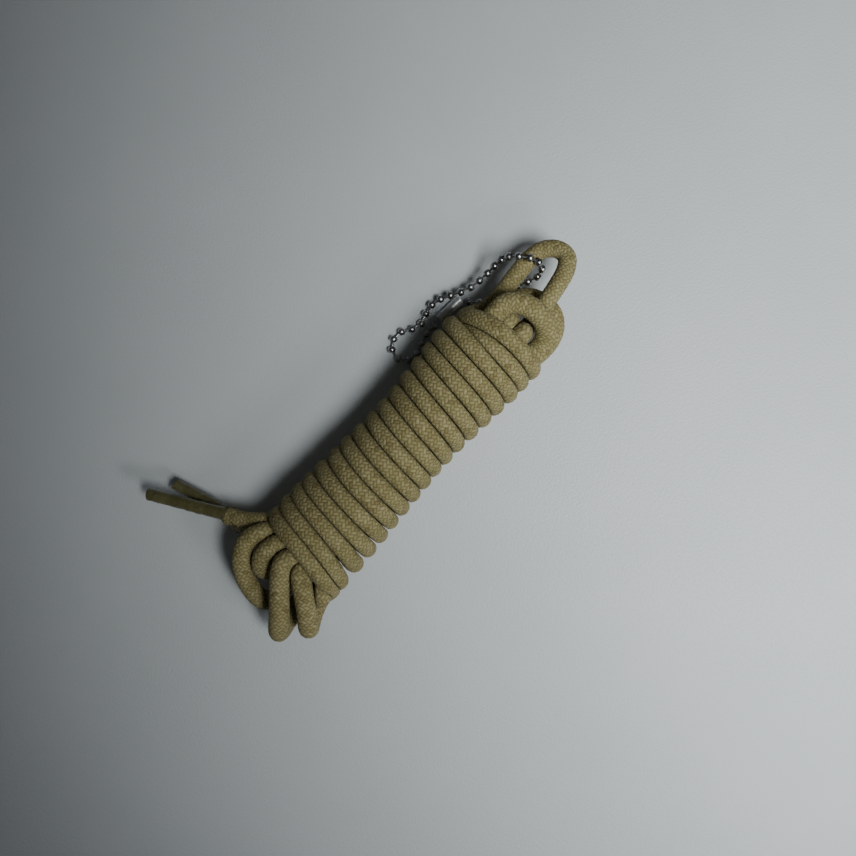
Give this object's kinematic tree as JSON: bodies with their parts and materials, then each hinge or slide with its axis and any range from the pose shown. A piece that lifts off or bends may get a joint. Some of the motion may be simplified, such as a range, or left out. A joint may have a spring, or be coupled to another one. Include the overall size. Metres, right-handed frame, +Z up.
{
  "type": "utility cord hank",
  "caption": "Braided utility cord bound into a compact hank with an eye at one end, film-wrapped cut ends, and a ball chain with a snap coupling looped through the eye.",
  "frame": {"origin": "centre of the whole object's footprint, on the surface that the hank lies on", "axes": "+X along the hank towards the eye, +Z up from the surface, +Y towards the side where the film-wrapped ends stand out"},
  "size_m": [0.1424, 0.065, 0.0291],
  "materials": {
    "cord": "matte",
    "film": "gloss",
    "chain": "satin",
    "coupling": "satin"
  },
  "bodies": {
    "hank": {"strand_bundle": "cord", "binding_turns": "cord", "tail_bight_outer": "cord", "tail_bight_inner": "cord", "tail_bight_long": "cord", "tail_bight_short": "cord", "crown_bight_upper": "cord", "crown_bight_lower": "cord", "crown_tuck_left": "cord", "crown_tuck_right": "cord", "eye_loop": "cord", "tail_front": "cord", "tail_back": "cord", "film_tip_front": "film", "film_tip_back": "film", "cord_end_front": "cord", "cord_end_back": "cord"},
    "chain_ring": {"bead_01": "chain", "bead_02": "chain", "bead_03": "chain", "bead_04": "chain", "bead_05": "chain", "bead_06": "chain", "bead_07": "chain", "bead_08": "chain", "bead_09": "chain", "bead_10": "chain", "bead_11": "chain", "bead_12": "chain", "bead_13": "chain", "bead_14": "chain", "bead_15": "chain", "bead_16": "chain"},
    "run_17": {"bead_17": "chain", "bead_18": "chain", "bead_19": "chain", "bead_20": "chain", "bead_21": "chain"},
    "run_22": {"bead_22": "chain", "bead_23": "chain", "bead_24": "chain"},
    "run_25": {"bead_25": "chain", "bead_26": "chain", "bead_27": "chain", "bead_28": "chain"},
    "run_29": {"bead_29": "chain", "bead_30": "chain"},
    "run_31": {"bead_31": "chain", "bead_32": "chain", "bead_33": "chain", "bead_34": "chain", "bead_35": "chain"},
    "coupling": {"snap_coupling": "coupling"}
  },
  "joints": [
    {"name": "chain_turn", "type": "hinge", "parent": "hank", "child": "chain_ring", "pos_m": [0.04602, -0.00479, 0.01026], "axis": [0.9963, -0.028, 0.081], "range_deg": [0, 75]},
    {"name": "coupling_swing", "type": "hinge", "parent": "chain_ring", "child": "coupling", "pos_m": [0.03932, 0.00271, 0.00161], "axis": [0, 0, 1], "range_deg": [0, 40]},
    {"name": "bend_16", "type": "hinge", "parent": "chain_ring", "child": "run_17", "pos_m": [0.05342, 0.00127, 0.00947], "axis": [0, 0, -1], "range_deg": [0, 25]},
    {"name": "bend_21", "type": "hinge", "parent": "run_17", "child": "run_22", "pos_m": [0.03881, 0.00543, 0.00422], "axis": [0, 0, -1], "range_deg": [0, 15]},
    {"name": "bend_24", "type": "hinge", "parent": "run_22", "child": "run_25", "pos_m": [0.02995, 0.00747, 0.00123], "axis": [0, 0, -1], "range_deg": [0, 25]},
    {"name": "bend_28", "type": "hinge", "parent": "run_25", "child": "run_29", "pos_m": [0.01759, 0.00956, 0.0012], "axis": [0, 0, -1], "range_deg": [0, 35]},
    {"name": "bend_30", "type": "hinge", "parent": "run_29", "child": "run_31", "pos_m": [0.01406, 0.00454, 0.0012], "axis": [0, 0, -1], "range_deg": [0, 22]}
  ]
}
